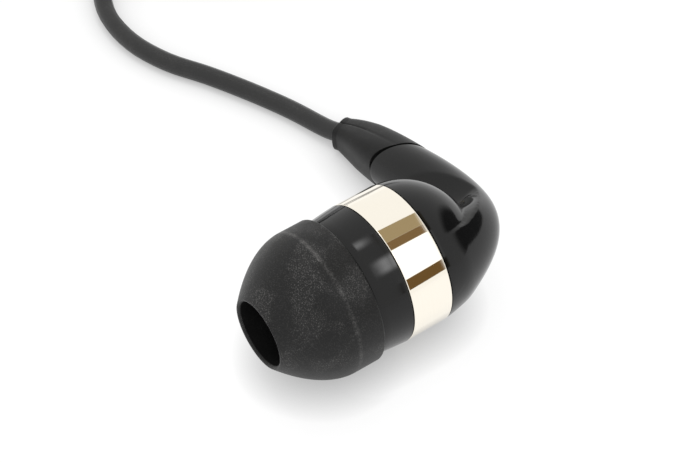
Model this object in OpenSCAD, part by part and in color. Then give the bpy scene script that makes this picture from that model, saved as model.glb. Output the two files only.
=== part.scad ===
/* [Ear tip] */
// Widest radius of the soft tip, at its skirt
tip_r = 6; // [5.8:0.1:6.8]
// Length of the tip along the sound axis, mouth to skirt edge
tip_length = 7.4; // [6.8:0.1:8.4]
// Length of the straight skirt at the back of the tip
skirt_length = 2.2; // [1.8:0.1:2.6]
// How far the skirt reaches back past the end of the sleeve
skirt_overlap = 2.15; // [1.9:0.05:2.2]
// Radius at the crest of the rim round the mouth
mouth_r = 2.95; // [2.8:0.05:3.2]
// Rounding of the rim
rim_r = 0.25; // [0.15:0.05:0.3]
// How quickly the tip swells behind its mouth
tip_fullness = 1.85; // [1.5:0.05:2.4]
// Wall of the soft dome and skirt
tip_wall = 0.5; // [0.4:0.05:0.6]
// Wall of the sleeve that grips the nozzle
sleeve_wall = 0.65; // [0.5:0.05:0.8]
// Running clearance between sleeve and nozzle
sleeve_clearance = 0.05; // [0.02:0.01:0.1]

/* [Front housing] */
// Outer radius of the nozzle
nozzle_r = 2.3; // [2.1:0.05:2.4]
// Length of nozzle that the tip's sleeve covers
nozzle_length = 2.7; // [2.4:0.1:3.2]
// Radius of the sound bore
sound_bore_r = 1.75; // [1.5:0.05:1.75]
// Wall round the seat of the nozzle screen
screen_lip = 0.3; // [0.2:0.05:0.3]
// Depth of the screen's seat in the nozzle
screen_depth = 0.6; // [0.4:0.1:0.8]
// Radius of the shoulder that stops the sleeve
shoulder_r = 3.3; // [3.1:0.1:3.6]
// Length of the bowl along the sound axis
bowl_length = 4.9; // [4.7:0.1:5.4]
// Depth of the bowl's front face that slopes back under the tip
bowl_slope = 2.1; // [1.9:0.05:2.3]
// Clearance between the skirt and the neck of the bowl inside it
skirt_gap = 0.2; // [0.15:0.05:0.5]
// How much the bowl narrows from the band to its lip
bowl_taper = 0.15; // [0.1:0.05:0.2]
// Length of the rounded lip from the neck to the widest radius
lip_length = 1.3; // [1:0.1:1.6]
// How far the driver sits ahead of the band's front edge
driver_depth = 1.3; // [1:0.05:1.4]
// Width of the ledge that the driver sits on
ledge_width = 0.75; // [0.6:0.05:0.9]

/* [Trim band] */
// Outer radius of the metal band
band_r = 5.85; // [5.75:0.05:5.95]
// Width of the metal band
band_width = 3.55; // [3.2:0.05:4.2]
// Thickness of the metal band
band_wall = 0.45; // [0.35:0.05:0.5]
// Clearance between the band and the spigots inside it
band_clearance = 0.05; // [0.03:0.01:0.08]
// Length of the front housing's spigot inside the band
spigot_length = 1.7; // [1.4:0.1:1.8]
// Wall of the front housing's spigot, round the driver
front_spigot_wall = 0.5; // [0.4:0.05:0.55]
// Wall of the rear shell's spigot
spigot_wall = 0.85; // [0.75:0.05:0.9]

/* [Rear shell] */
// Length of the rear dome behind the band
dome_length = 5.4; // [5.1:0.1:5.7]
// Wall of the dome at its end, behind the rear chamber
dome_wall = 0.6; // [0.5:0.05:0.8]

/* [Cable arm] */
// Sideways reach of the arm and its rubber sleeve from the sound axis
arm_reach = 17.4; // [17:0.1:18.5]
// How far behind the band the arm's centre line starts
arm_root = 0.2; // [0:0.05:0.4]
// Swing of the arm away from the cable before it turns
arm_swing = 3.7; // [3.4:0.1:4]
// How far back the arm reaches for its turn
arm_turn_back = 9.2; // [8.8:0.1:9.6]
// Sideways pull of the arm after its turn
arm_pull = 5.2; // [4.8:0.1:5.6]
// How far behind the band the arm runs after its turn
arm_run_back = 6.3; // [6:0.1:6.6]
// Radius by which the arm thins at its turn
arm_waist = 0.44; // [0.3:0.02:0.6]
// Radius that swells the arm again past its turn
arm_swell = 4.1; // [3.9:0.05:4.3]
// Radius towards which the arm tapers
arm_taper = 1.2; // [1.1:0.05:1.3]
// How far behind the band the rubber sleeve ends
arm_back = 5.5; // [5.2:0.1:6]
// Sideways distance of the joint between arm and rubber sleeve
seam_reach = 9.4; // [9:0.1:9.8]
// How far behind the band that joint is
seam_back = 6.35; // [6.2:0.05:6.5]
// Slant of that joint
seam_slant = 28; // [20:1:32]
// Radius of the rubber sleeve where the cable leaves it
relief_end_r = 1.2; // [1.05:0.05:1.3]
// Droop of the cable where it leaves the rubber sleeve
exit_slope = 10; // [8:1:12]

/* [Driver] */
// Clearance between driver and housing
driver_clearance = 0.05; // [0.02:0.01:0.08]
// Width of the ring of vents in the driver's frame
vent_lane = 0.8; // [0.7:0.05:0.9]
// Thickness of the magnet
magnet_height = 1.15; // [0.9:0.05:1.4]
// Thickness of the steel front plate on the magnet
pole_height = 0.4; // [0.3:0.05:0.5]
// Width of the air gap between pole plate and yoke
air_gap = 0.55; // [0.5:0.01:0.6]
// Wall and floor of the steel yoke
yoke_wall = 0.4; // [0.3:0.05:0.45]
// Thickness of the voice coil
coil_wall = 0.2; // [0.15:0.01:0.24]
// Length of the voice coil
coil_length = 1.3; // [1:0.05:1.5]
// Thickness of the diaphragm film
film = 0.08; // [0.05:0.01:0.1]
// Travel of the diaphragm either way
travel = 0.2; // [0.1:0.01:0.22]

/* [Cable] */
// Diameter of the cable
cord_d = 1.6; // [1.4:0.05:1.65]
// Clearance between the cable and the bore it passes through
cord_clearance = 0.05; // [0.03:0.01:0.1]
// Radius of the innermost turn of the stored coil
coil_inner = 4.8; // [4.6:0.1:5.2]
// Distance between turns of the stored coil, across and up
coil_pitch = 2.1; // [2.1:0.01:2.2]
// Thickness of the strap round the stored coil
tie_thick = 0.4; // [0.3:0.05:0.45]
// Width of the strap round the stored coil
tie_width = 3; // [2:0.5:5]

/* [Plug] */
// Radius of the moulded grip
grip_r = 3.2; // [2.9:0.05:3.4]
// Length of the moulded grip
grip_length = 15; // [13:0.5:18]
// Length of the tapered boot behind the grip
boot_length = 7; // [6.5:0.5:8]
// Radius of the plug's contacts
plug_r = 1.75; // [1.7:0.01:1.75]
// Length of the sleeve contact that stands out of the grip
sleeve_length = 7.3; // [6.8:0.1:7.8]
// Length of the ring contact
ring_length = 2.2; // [1.8:0.1:2.6]
// Length of the tip contact
tip_contact_length = 3.5; // [3:0.1:4]
// Width of each insulating ring between contacts
insulator_width = 0.5; // [0.4:0.05:0.7]

/* [Hidden] */
$fn = 64;

// Gaps: glued parts, moving parts, rubber sleeve to table, arm to rubber sleeve
fit_gap = 0.05;
moving_gap = 0.07;
floor_gap = 0.03;
seam_gap = 0.05;
// Chamfer on turned edges
edge = 0.1;
// Reach of the solids that cut others
far = 40;

// Stations along the sound axis, counted back from the band's front edge
throat_wall = 0.6;
funnel_length = 0.5;
bowl_front = -bowl_length;
nozzle_front = bowl_front - nozzle_length;
screen_seat = nozzle_front + screen_depth;
throat = bowl_front + throat_wall;
neck = bowl_front + bowl_slope;
sleeve_back = bowl_front - fit_gap;
skirt_edge = bowl_front + skirt_overlap;
mouth = skirt_edge - tip_length;
grille_thick = 0.2;
screen_thick = 0.2;
damper_length = 0.8;
shelf_depth = 1.05;
shelf_thick = 0.2;
pole_setback = 0.2;
board_thick = 0.3;
solder_height = 0.3;
driver_seat = -driver_depth;
frame_front = driver_seat + grille_thick + fit_gap;
shelf_front = frame_front + shelf_depth;
shelf_back = shelf_front + shelf_thick;
film_back = shelf_front - travel - moving_gap;
pole_front = shelf_back + pole_setback;
magnet_front = pole_front + pole_height;
yoke_floor = magnet_front + magnet_height;
yoke_back = yoke_floor + yoke_wall;
board_back = yoke_back + board_thick;
solder_back = board_back + solder_height;
tube_back = yoke_back - 0.8;
rear_spigot_front = spigot_length + 2 * fit_gap;

// Radii about the sound axis
bore_r = nozzle_r + sleeve_clearance;
sleeve_r = bore_r + sleeve_wall;
screen_r = nozzle_r - screen_lip;
neck_r = tip_r - tip_wall - skirt_gap;
bowl_r = band_r - bowl_taper;
spigot_r = band_r - band_wall - band_clearance;
driver_bore_r = spigot_r - front_spigot_wall;
driver_r = driver_bore_r - driver_clearance;
ledge_r = driver_bore_r - ledge_width;
chamber_r = spigot_r - spigot_wall;
rim_wall = 0.2;
tube_wall = 0.3;
gasket_wall = 0.35;
board_inset = 0.7;
pad_inset = 1.4;
gasket_bore_r = driver_r - gasket_wall;
frame_tube_r = gasket_bore_r - vent_lane;
frame_bore_r = frame_tube_r - tube_wall;
yoke_r = frame_bore_r - fit_gap;
yoke_bore_r = yoke_r - yoke_wall;
pole_r = yoke_bore_r - air_gap;
magnet_r = pole_r - fit_gap;
board_r = yoke_r - board_inset;
pad_offset = board_r - pad_inset;
pad_r = 0.42;
frame_rim_r = driver_r - rim_wall;
film_r = frame_rim_r - 2 * fit_gap;
voice_r = pole_r + (air_gap - coil_wall) / 2;
vent_ring_r = (frame_tube_r + gasket_bore_r) / 2;
vent_margin = 0.15;
vent_r = vent_lane / 2 - vent_margin;
roll_margin = 0.1;
film_edge = 0.3;
cap_rise = 0.3;
roll_rise = 0.25;

// How the earpiece lies: on its widest ring, rolled until the rubber sleeve's end is on the table
axis_z = max(tip_r, bowl_r, band_r);
roll = asin((axis_z - relief_end_r - floor_gap) / arm_reach);
exit_turn = 20.4;
exit = [-cos(exit_turn) * cos(exit_slope), -sin(exit_turn) * cos(exit_slope), -sin(exit_slope)];
exit_in_ear = [exit.x * cos(roll) + exit.z * sin(roll), exit.y,
               exit.z * cos(roll) - exit.x * sin(roll)];

function bezier(p, t) = pow(1 - t, 3) * p[0] + 3 * pow(1 - t, 2) * t * p[1]
    + 3 * (1 - t) * t * t * p[2] + pow(t, 3) * p[3];
function unit(v) = v / norm(v);
function heading(p, i) = unit(p[min(i + 1, len(p) - 1)] - p[max(i - 1, 0)]);
function side(t) = unit(cross(t, [0, 0, 1]));
// Corners of a ring round point c, square to direction t, w wide and h high
function ring(c, t, w, h, n) = [for (k = [0 : n - 1])
    c + w * cos(360 * k / n) * side(t) + h * sin(360 * k / n) * cross(side(t), t)];

// Centre line and radius of the arm that sweeps round behind the dome
arm_end = [-arm_reach, band_width + arm_back, 0];
arm_curve = [[0, band_width + arm_root, 0], [arm_swing, band_width + arm_turn_back, 0],
             [-arm_pull, band_width + arm_run_back, 0], arm_end];
arm_radii = [band_r, -arm_waist, arm_swell, arm_taper];
function arm(t) = bezier(arm_curve, t);
function arm_radius(t) = bezier(arm_radii, t);
arm_cut = 0.8;
arm_steps = 11;

// The rubber sleeve takes over where the arm straightens
join = 0.72;
relief_straight = 0.5;
relief_ease_in = 3.2;
relief_ease_out = 2.1;
relief_steps = 9;
relief_last = arm_end - relief_straight * exit_in_ear;
relief_curve = [arm(join), arm(join) + relief_ease_in * unit(arm(join + 0.01) - arm(join - 0.01)),
                relief_last - relief_ease_out * exit_in_ear, relief_last];
relief_path = concat([for (i = [0 : relief_steps]) bezier(relief_curve, i / relief_steps)], [arm_end]);
function relief_radius(v) = arm_radius(join) - (arm_radius(join) - relief_end_r) * pow(v, 1.5);
relief_lead = [0.55, 0.62, 0.68];

// The cable inside, from the chamber to the end of the rubber sleeve
cable_start = 0.12;
inner_path = concat([for (i = [0 : 9]) arm(cable_start + i * (join - cable_start) / 10)], relief_path);
stop_at = 0.165;
stop_r = 1.25;
stop_length = 1;

// Origin under the middle of the earpiece
back_y = max([for (i = [0 : 40]) arm(i / 50).y + arm_radius(i / 50)]);
reach_x = arm_reach * cos(roll) + relief_end_r * sqrt(1 - exit.x * exit.x);
ear_x = (reach_x - axis_z) / 2;
ear_y = -(back_y + mouth) / 2;
function in_row(p) = [ear_x + p.x * cos(roll) - p.z * sin(roll), ear_y + p.y,
                      axis_z + p.x * sin(roll) + p.z * cos(roll)];

// The stored coil winds inward, climbs, winds outward, climbs, and so on for four layers
lie = cord_d / 2;
bore_for_cable = lie + cord_clearance;
turn_steps = 24;
layer_steps = 105;
climb_steps = 12;
layers = 4;
climb_dip = 0.35;
coil_x = -45.4;
coil_outer = coil_inner + coil_pitch * layer_steps / turn_steps;
coil_y = 3 + coil_outer;
coil_base = lie + tie_thick + fit_gap;
coil_top = coil_base + (layers - 1) * coil_pitch;
coil_steps = layers * layer_steps + (layers - 1) * climb_steps;
function coil_point(k) = let (
    layer = floor(k / (layer_steps + climb_steps)),
    step = k - layer * (layer_steps + climb_steps),
    climb = max(0, step - layer_steps) / climb_steps,
    run = coil_pitch * min(step, layer_steps) / turn_steps,
    inward = layer % 2 == 0,
    r = (inward ? coil_outer - run : coil_inner + run) + (inward ? -1 : 1) * climb_dip * sin(180 * climb),
    a = -90 - 360 * k / turn_steps)
    [coil_x + r * cos(a), coil_y + r * sin(a), coil_base + coil_pitch * (layer + (1 - cos(180 * climb)) / 2)];
coil_in = [coil_x + cord_d, coil_y - coil_outer, coil_base];
coil_out = [coil_x - cord_d, coil_y - coil_outer, coil_top];
coil_path = concat([coil_in], [for (k = [0 : coil_steps]) coil_point(k)], [coil_out]);
echo(least_gap_in_coil = min([for (i = [0 : 2 : coil_steps - 12])
    min([for (j = [i + 12 : coil_steps]) norm(coil_path[i] - coil_path[j])])]) - cord_d);
tie_turn = 60;
tie_gap = 0.15;
tie_inner = sqrt(pow(coil_inner - climb_dip - lie, 2) - pow(tie_width / 2, 2)) - tie_gap;
tie_outer = coil_outer + climb_dip + lie + tie_gap;
tie_height = coil_top + lie + fit_gap;

// The plug lies beside the coil, pointing along -Y
plug_x = -71;
plug_back = 24.7;
pocket_depth = 3;
pocket_r = 2.35;
wire_room_r = 1.6;
wire_r = 0.12;
cable_end = boot_length + grip_length - pocket_depth - 3.1;
grip_front = boot_length + grip_length;
shoulder_back = grip_front - pocket_depth;
sleeve_front = grip_front + sleeve_length;
ring_back = sleeve_front + insulator_width;
ring_front = ring_back + ring_length;
tip_back = ring_front + insulator_width;
tail_step = 0.4;
slip = 0.02;
rod_r = 0.45;
inner_insulator_r = 0.75;
ring_tube_r = 1;
outer_insulator_r = 1.2;
ring_bore_r = inner_insulator_r + slip;
sleeve_bore_r = outer_insulator_r + slip;
shim = 0.03;
tip_neck_r = 1.2;
tip_head_r = plug_r - 0.1;
function in_plug(x, p) = [plug_x + x, plug_back - p, grip_r];
plug_entry = in_plug(0, 0);

// Cable on the table, from the rubber sleeve to the coil and from the coil to the plug
relief_out = in_row(arm_end);
run_path = [relief_out, relief_out + cord_d * exit, [-16, 6.3, lie], [-19.6, 4.7, lie], [-23.3, 2.8, lie],
            [-26.7, 0.8, lie], [-30.4, -0.4, lie], [-34.2, -0.4, lie], [-37.4, 0.8, 0.95],
            [-40, 2.4, 1.15], coil_in + [cord_d, 0, 0], coil_in];
tail_path = [coil_out, coil_out - [cord_d, 0, 0], [-51.6, 3.4, 7.4], [-55, 4.7, 7], [-58.3, 7, 6.4],
             [-60.6, 10.2, 5.4], [-61.9, 13.8, 4.2], [-62.2, 17.5, 3], [-61.9, 21.2, 1.8], [-61.6, 24.8, 1],
             [-62.4, 28.2, lie], [-64.9, 30.7, 0.9], [-68.1, 30.8, 1.4], [-70.3, 28.9, 2.3],
             plug_entry + [0, cord_d, 0], plug_entry];
function path_length(p) = len(p) < 2 ? 0 : norm(p[1] - p[0]) + path_length([for (i = [1 : len(p) - 1]) p[i]]);
coil_length_sum = [for (i = [1 : len(coil_path) - 1]) norm(coil_path[i] - coil_path[i - 1])];
echo(cable_metres = (path_length(inner_path) + path_length(run_path) + path_length(tail_path) + cable_end
    + coil_length_sum * [for (i = [1 : len(coil_path) - 1]) 1]) / 1000);

// ---- Shapes that several parts share ----

// Puts a part of the earpiece where it lies: sound axis along Y, cable arm towards -X
module at_ear() {
    translate([ear_x, ear_y, axis_z]) rotate([0, -roll, 0]) children();
}
// Turns a profile of [radius, station] about the sound axis
module turned() {
    rotate([-90, 0, 0]) rotate_extrude($fn = 96) children();
}
module disc(r, from, thick) {
    rotate([-90, 0, 0]) translate([0, 0, from]) cylinder(h = thick, r = r);
}
// A washer about the sound axis
module washer(r_in, r_out, from, thick) {
    turned() translate([r_in, from]) square([r_out - r_in, thick]);
}
module at_plug() {
    translate([plug_x, plug_back, grip_r]) rotate([90, 0, 0]) children();
}
// Joins rings of equally many corners into one closed solid
module skin(rings) {
    n = len(rings[0]);
    last = (len(rings) - 1) * n;
    polyhedron([for (r = rings) each r], concat(
        [for (i = [0 : n : last - n]) for (k = [0 : n - 1]) each [
            [i + k, i + (k + 1) % n, i + n + (k + 1) % n],
            [i + k, i + n + (k + 1) % n, i + n + k]]],
        [for (k = [1 : n - 2]) [0, k + 1, k]],
        [for (k = [1 : n - 2]) [last, last + k, last + k + 1]]));
}
module tube(path, r, n) {
    skin([for (i = [0 : len(path) - 1]) ring(path[i], heading(path, i), r, r, n)]);
}
module cable_channel() {
    tube(concat(inner_path, [arm_end + exit_in_ear]), bore_for_cable, 16);
}
// Everything past the joint between arm and rubber sleeve, moved out by g
module beyond_seam(g) {
    translate([-seam_reach, band_width + seam_back, 0]) rotate([0, 0, -seam_slant])
        translate([-far - g, -far / 2, -far / 2]) cube(far);
}

// ---- Ear tip and nozzle ----

function tip_swell(u) = mouth_r + (tip_r - mouth_r) * (1 - pow(1 - u, tip_fullness));
function tip_station(u) = mouth + (tip_length - skirt_length) * u;

module ear_tip() {
    color([0.16, 0.16, 0.17]) at_ear() turned() polygon(concat(
        [[bore_r, sleeve_back], [bore_r, nozzle_front - funnel_length], [mouth_r - rim_r, mouth + rim_r]],
        [for (a = [195 : 15 : 270]) [mouth_r + rim_r * cos(a), mouth + rim_r + rim_r * sin(a)]],
        [for (i = [1 : 12]) [tip_swell(i / 12), tip_station(i / 12)]],
        [[tip_r, skirt_edge - edge], [tip_r - edge, skirt_edge], [tip_r - tip_wall, skirt_edge]],
        [for (i = [12 : -1 : 4]) [tip_swell(i / 12) - tip_wall, tip_station(i / 12)]],
        [[sleeve_r, tip_station(1 / 3)], [sleeve_r, sleeve_back]]));
}

module nozzle_screen() {
    screen_pitch = 0.55;
    color([0.35, 0.35, 0.36]) at_ear() difference() {
        disc(screen_r - fit_gap, screen_seat - fit_gap - screen_thick, screen_thick);
        for (i = [-3 : 3])
            for (j = [-3 : 3])
                if (abs(i + j) <= 3)
                    rotate([-90, 0, 0])
                        translate([screen_pitch * (i + j / 2), screen_pitch * j * sin(60), screen_seat - 1])
                            cylinder(h = 2, r = 0.16, $fn = 16);
    }
}

module nozzle_damper() {
    color([0.8, 0.8, 0.78]) at_ear() disc(sound_bore_r - fit_gap, screen_seat + fit_gap, damper_length);
}

module front_housing() {
    lip_turn = 70;
    lip_r = neck_r + (bowl_r - neck_r) * sin(lip_turn);
    lip_back = neck + lip_length * (1 - cos(lip_turn));
    color([0.03, 0.03, 0.035]) at_ear() turned() polygon(concat(
        [[screen_r, nozzle_front], [nozzle_r - edge, nozzle_front], [nozzle_r, nozzle_front + edge],
         [nozzle_r, bowl_front], [shoulder_r, bowl_front]],
        [for (a = [0 : 10 : lip_turn]) [neck_r + (bowl_r - neck_r) * sin(a), neck + lip_length * (1 - cos(a))]],
        [for (u = [0.25 : 0.25 : 1])
            [lip_r + (band_r - lip_r) * (u + 0.35 * u * (1 - u)), lip_back * (1 - u)]],
        [[spigot_r, 0], [spigot_r, spigot_length], [driver_bore_r, spigot_length],
         [driver_bore_r, driver_seat], [ledge_r, driver_seat], [sound_bore_r, throat],
         [sound_bore_r, screen_seat], [screen_r, screen_seat]]));
}

// ---- Band, rear shell and rubber sleeve ----

module trim_band() {
    color([0.86, 0.8, 0.7]) at_ear() washer(band_r - band_wall, band_r, fit_gap, band_width - fit_gap);
}

module arm_ball(t) {
    translate(arm(t)) sphere(r = arm_radius(t), $fn = 24);
}

module dome() {
    turned() polygon(concat([[0, band_width]],
        [for (a = [0 : 7.5 : 90]) [(band_r - fit_gap) * cos(a), band_width + dome_length * sin(a)]]));
}

module rear_shell() {
    shell_front = band_width + fit_gap;
    color([0.03, 0.03, 0.035]) at_ear() difference() {
        union() {
            difference() {
                union() {
                    dome();
                    for (i = [0 : arm_steps - 1])
                        hull() {
                            arm_ball(arm_cut * i / arm_steps);
                            arm_ball(arm_cut * (i + 1) / arm_steps);
                        }
                }
                translate([-far / 2, shell_front - far, -far / 2]) cube(far);
                beyond_seam(0);
            }
            disc(spigot_r, rear_spigot_front, shell_front - rear_spigot_front + 0.4);
        }
        turned() polygon(concat(
            [[0, rear_spigot_front - 1], [chamber_r, rear_spigot_front - 1]],
            [for (a = [0 : 10 : 90]) [chamber_r * cos(a), band_width + (dome_length - dome_wall) * sin(a)]]));
        cable_channel();
    }
}

module strain_relief() {
    rubber_path = concat([for (t = relief_lead) arm(t)], relief_path);
    rubber_r = concat([for (t = relief_lead) arm_radius(t)],
                      [for (i = [0 : relief_steps]) relief_radius(i / relief_steps)], [relief_end_r]);
    color([0.09, 0.09, 0.095]) at_ear() difference() {
        intersection() {
            skin([for (i = [0 : len(rubber_path) - 1])
                ring(rubber_path[i], heading(rubber_path, i), rubber_r[i], rubber_r[i], 24)]);
            beyond_seam(seam_gap);
        }
        cable_channel();
    }
}

// ---- Driver ----

module driver_grille() {
    color([0.6, 0.6, 0.62]) at_ear() difference() {
        disc(driver_r - fit_gap, driver_seat + fit_gap, grille_thick - fit_gap);
        rotate([-90, 0, 0]) translate([0, 0, driver_seat - 1]) {
            cylinder(h = 3, r = 0.6);
            for (k = [0 : 5])
                rotate([0, 0, 60 * k]) translate([2.6, 0, 0]) cylinder(h = 3, r = 0.5);
        }
    }
}

// Height of the film over its flat rim: a dome in the middle and a half-round roll round it
roll_in = voice_r + coil_wall + roll_margin;
roll_out = film_r - film_edge;
function film_rise(r) = r < voice_r ? cap_rise * cos(90 * r / voice_r)
    : r < roll_in || r > roll_out ? 0 : roll_rise * sin(180 * (r - roll_in) / (roll_out - roll_in));
module diaphragm() {
    film_steps = 36;
    color([0.85, 0.75, 0.45]) at_ear() turned() polygon(concat(
        [for (i = [0 : film_steps]) [film_r * i / film_steps, film_back - film - film_rise(film_r * i / film_steps)]],
        [for (i = [film_steps : -1 : 0]) [film_r * i / film_steps, film_back - film_rise(film_r * i / film_steps)]]));
}

module voice_coil() {
    color([0.72, 0.4, 0.2]) at_ear() washer(voice_r, voice_r + coil_wall, film_back, coil_length);
}

module driver_frame() {
    color([0.15, 0.15, 0.15]) at_ear() difference() {
        turned() polygon([[frame_bore_r, shelf_front], [frame_rim_r, shelf_front], [frame_rim_r, frame_front],
            [driver_r, frame_front], [driver_r, shelf_back], [frame_tube_r, shelf_back],
            [frame_tube_r, tube_back], [frame_bore_r, tube_back]]);
        rotate([-90, 0, 0])
            for (k = [0 : 7])
                rotate([0, 0, 45 * k]) translate([vent_ring_r, 0, shelf_front - shelf_thick])
                    cylinder(h = 3 * shelf_thick, r = vent_r);
    }
}

module tuning_paper() {
    color([0.9, 0.88, 0.8]) at_ear()
        washer(frame_tube_r + fit_gap, gasket_bore_r - fit_gap, shelf_back + fit_gap, 0.1);
}

module driver_gasket() {
    color([0.2, 0.2, 0.2]) at_ear()
        washer(gasket_bore_r, driver_r, shelf_back + fit_gap, rear_spigot_front - shelf_back - 2 * fit_gap);
}

module pole_plate() {
    color([0.7, 0.7, 0.72]) at_ear() disc(pole_r, pole_front, pole_height - fit_gap);
}

module magnet() {
    color([0.55, 0.55, 0.58]) at_ear() disc(magnet_r, magnet_front, magnet_height - fit_gap);
}

module yoke() {
    color([0.65, 0.65, 0.67]) at_ear() turned() polygon([[0, yoke_floor], [yoke_bore_r, yoke_floor],
        [yoke_bore_r, pole_front], [yoke_r, pole_front], [yoke_r, yoke_back], [0, yoke_back]]);
}

module terminal_board() {
    color([0.1, 0.35, 0.2]) at_ear() disc(board_r, yoke_back + fit_gap, board_thick - fit_gap);
}

module solder_joints() {
    color([0.8, 0.8, 0.82]) at_ear() rotate([-90, 0, 0])
        for (x = [-pad_offset, pad_offset])
            translate([x, 0, board_back + fit_gap]) cylinder(h = solder_height - fit_gap, r1 = pad_r, r2 = pad_r / 2);
}

module lead_wires() {
    start = solder_back + fit_gap;
    stop = arm(cable_start) - [0.03, 0.08, 0];
    color([0.75, 0.2, 0.15]) at_ear()
        for (k = [-1, 1])
            tube([[k * pad_offset, start, 0], [k * pad_offset, start + 0.6, 0],
                  [0.2 + k * 0.95, start + 1.6, 0.1], [stop.x + k * 0.35, stop.y - 0.9, 0.05],
                  [stop.x + k * 0.28, stop.y - 0.4, 0], [stop.x + k * 0.28, stop.y, 0]], 0.14, 8);
}

// ---- Cable ----

module cable_stop() {
    along = arm(stop_at + 0.01) - arm(stop_at - 0.01);
    color([0.7, 0.65, 0.5]) at_ear() translate(arm(stop_at)) rotate([0, 0, atan2(-along.x, along.y)])
        washer(bore_for_cable, stop_r, -stop_length / 2, stop_length);
}

module inner_cable() {
    color([0.12, 0.12, 0.12]) at_ear() tube(inner_path, lie, 8);
}

module cable_run() {
    color([0.12, 0.12, 0.12]) tube(run_path, lie, 8);
}

module cable_coil() {
    color([0.12, 0.12, 0.12]) tube(coil_path, lie, 6);
}

module cable_tail() {
    color([0.12, 0.12, 0.12]) tube(tail_path, lie, 8);
}

module coil_tie() {
    span = tie_outer - tie_inner;
    color([0.1, 0.1, 0.1]) translate([coil_x, coil_y, 0]) rotate([0, 0, tie_turn]) difference() {
        translate([tie_inner - tie_thick, -tie_width / 2, 0])
            cube([span + 2 * tie_thick, tie_width, tie_height + tie_thick]);
        translate([tie_inner, -tie_width, tie_thick]) cube([span, 2 * tie_width, tie_height - tie_thick]);
    }
}

// ---- Plug ----

module plug_boot() {
    boot_front = boot_length - fit_gap;
    groove = 0.35;
    function boot_r(p) = 1.45 + 1.15 * p / boot_length;
    color([0.09, 0.09, 0.095]) at_plug() rotate_extrude() polygon(concat(
        [[bore_for_cable, 0], [boot_r(0), 0]],
        [for (i = [0 : 3]) let (p = 1.2 + 1.35 * i) each [[boot_r(p), p], [boot_r(p) - groove, p + 0.1],
            [boot_r(p) - groove, p + 0.6], [boot_r(p + 0.7), p + 0.7]]],
        [[boot_r(boot_front), boot_front], [bore_for_cable, boot_front]]));
}

module plug_grip() {
    color([0.05, 0.05, 0.055]) at_plug() rotate_extrude() polygon([
        [bore_for_cable, boot_length], [grip_r - 0.4, boot_length], [grip_r, boot_length + 0.4],
        [grip_r, grip_front - 0.4], [grip_r - 0.4, grip_front], [pocket_r, grip_front],
        [pocket_r, shoulder_back - fit_gap], [wire_room_r, shoulder_back - fit_gap],
        [wire_room_r, cable_end], [bore_for_cable, cable_end]]);
}

module plug_lead() {
    color([0.12, 0.12, 0.12]) at_plug() cylinder(h = cable_end, r = lie, $fn = 24);
}

module plug_wires() {
    start = cable_end + fit_gap;
    color([0.75, 0.45, 0.2]) {
        tube([in_plug(0.45, start), in_plug(0.55, start + 0.3), in_plug(1.45, start + 1.7),
              in_plug(1.45, shoulder_back - fit_gap)], wire_r, 8);
        tube([in_plug(-0.45, start), in_plug(-0.91, start + 1.1),
              in_plug(-0.91, shoulder_back - 2 * tail_step - fit_gap)], wire_r, 8);
        tube([in_plug(0, start), in_plug(0, shoulder_back - 4 * tail_step - fit_gap)], wire_r, 8);
    }
}

module plug_sleeve() {
    color([0.85, 0.78, 0.6]) at_plug() rotate_extrude() polygon([
        [sleeve_bore_r, shoulder_back], [pocket_r - fit_gap, shoulder_back], [pocket_r - fit_gap, grip_front],
        [plug_r, grip_front], [plug_r, sleeve_front], [sleeve_bore_r, sleeve_front]]);
}

// A tube through the contacts, with a flange that parts two of them
module insulator(r_in, r_out, back, flange_back, flange_front) {
    color([0.05, 0.05, 0.05]) at_plug() rotate_extrude() polygon([
        [r_in, back], [r_out, back], [r_out, flange_back + shim], [plug_r, flange_back + shim],
        [plug_r, flange_front - shim], [r_in, flange_front - shim]]);
}

module outer_insulator() {
    insulator(ring_tube_r + slip, outer_insulator_r, shoulder_back - tail_step, sleeve_front, ring_back);
}

module plug_ring() {
    color([0.85, 0.78, 0.6]) at_plug() rotate_extrude() polygon([
        [ring_bore_r, shoulder_back - 2 * tail_step], [ring_tube_r, shoulder_back - 2 * tail_step],
        [ring_tube_r, ring_back], [plug_r, ring_back], [plug_r, ring_front], [ring_bore_r, ring_front]]);
}

module inner_insulator() {
    insulator(rod_r + slip, inner_insulator_r, shoulder_back - 3 * tail_step, ring_front, tip_back);
}

module plug_tip() {
    top = tip_back + tip_contact_length;
    color([0.85, 0.78, 0.6]) at_plug() rotate_extrude() polygon([
        [0, shoulder_back - 4 * tail_step], [rod_r, shoulder_back - 4 * tail_step], [rod_r, tip_back],
        [tip_neck_r, tip_back], [tip_neck_r, tip_back + 0.4], [tip_head_r, tip_back + 1.1],
        [tip_head_r, tip_back + 1.6], [tip_head_r / 3, top - 0.3], [0, top]]);
}

ear_tip();
nozzle_screen();
nozzle_damper();
front_housing();
trim_band();
rear_shell();
strain_relief();
driver_grille();
diaphragm();
voice_coil();
driver_frame();
tuning_paper();
driver_gasket();
pole_plate();
magnet();
yoke();
terminal_board();
solder_joints();
lead_wires();
cable_stop();
inner_cable();
cable_run();
cable_coil();
cable_tail();
coil_tie();
plug_boot();
plug_grip();
plug_lead();
plug_wires();
plug_sleeve();
plug_ring();
plug_tip();
outer_insulator();
inner_insulator();
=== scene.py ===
# %% [markdown]
# # A wired in-ear earphone
#
# The mechanical model comes first: every solid of the earphone already has its size and its place. This script
# dresses it. Smooth skins replace the faceted solids that show, a curve replaces the cable, and each piece gets a
# finish made of nodes. All positions below are in millimetres and are turned into metres where a mesh is made.

# %% Load the model
import math

import bmesh
import bpy
import numpy as np
from mathutils import Matrix, Vector


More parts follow.
